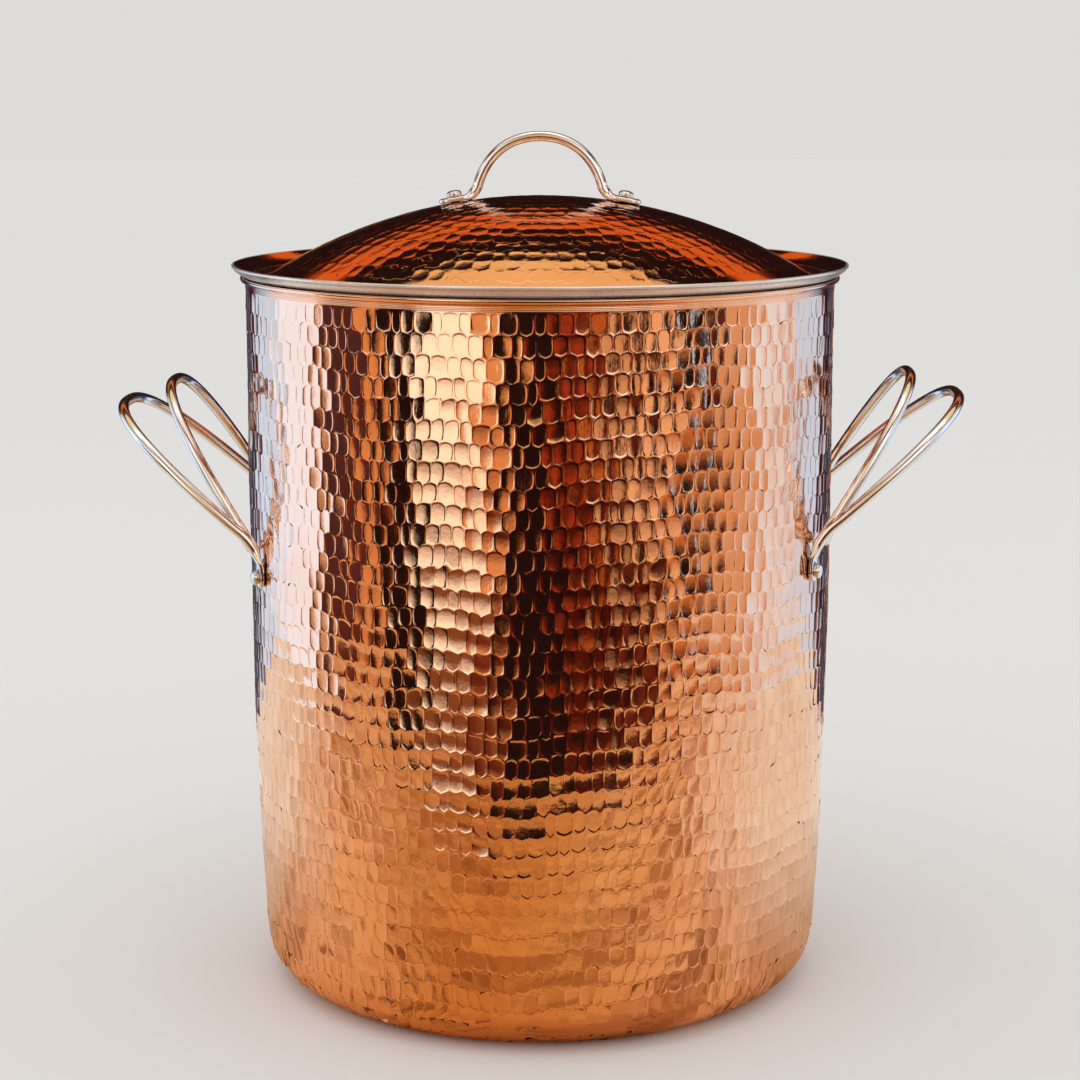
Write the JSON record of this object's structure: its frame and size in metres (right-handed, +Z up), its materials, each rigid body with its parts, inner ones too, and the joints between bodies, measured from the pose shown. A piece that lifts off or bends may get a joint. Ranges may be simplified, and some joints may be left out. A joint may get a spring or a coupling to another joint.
{
  "type": "stockpot",
  "caption": "Tall hammered copper stockpot with a domed lift-off lid, an arched lid handle and bolted double-loop wire side handles.",
  "frame": {"origin": "centre of the flat base, on the surface the pot stands on", "axes": "+Z up the pot's axis, +X towards one side handle, -Y towards the viewer in the front view"},
  "size_m": [0.3974, 0.2888, 0.4016],
  "materials": {
    "hammered_copper": "polished hammered copper outside, bright tin lining inside",
    "polished_steel": "polished stainless steel rod with flattened feet",
    "steel_fasteners": "polished stainless steel fasteners"
  },
  "bodies": {
    "pot": {"pot_body": "hammered_copper", "left_outer_loop": "polished_steel", "left_inner_loop": "polished_steel", "right_outer_loop": "polished_steel", "right_inner_loop": "polished_steel", "left_front_bolt": "steel_fasteners", "left_front_washer": "steel_fasteners", "left_front_nut": "steel_fasteners", "left_rear_bolt": "steel_fasteners", "left_rear_washer": "steel_fasteners", "left_rear_nut": "steel_fasteners", "right_front_bolt": "steel_fasteners", "right_front_washer": "steel_fasteners", "right_front_nut": "steel_fasteners", "right_rear_bolt": "steel_fasteners", "right_rear_washer": "steel_fasteners", "right_rear_nut": "steel_fasteners"},
    "lid": {"lid_shell": "hammered_copper", "lid_handle": "polished_steel", "lid_left_bolt": "steel_fasteners", "lid_left_washer": "steel_fasteners", "lid_left_nut": "steel_fasteners", "lid_right_bolt": "steel_fasteners", "lid_right_washer": "steel_fasteners", "lid_right_nut": "steel_fasteners"}
  },
  "joints": [
    {"name": "lid_lift", "type": "slide", "parent": "pot", "child": "lid", "axis": [0, 0, 1], "range_m": [0, 0.16]}
  ]
}
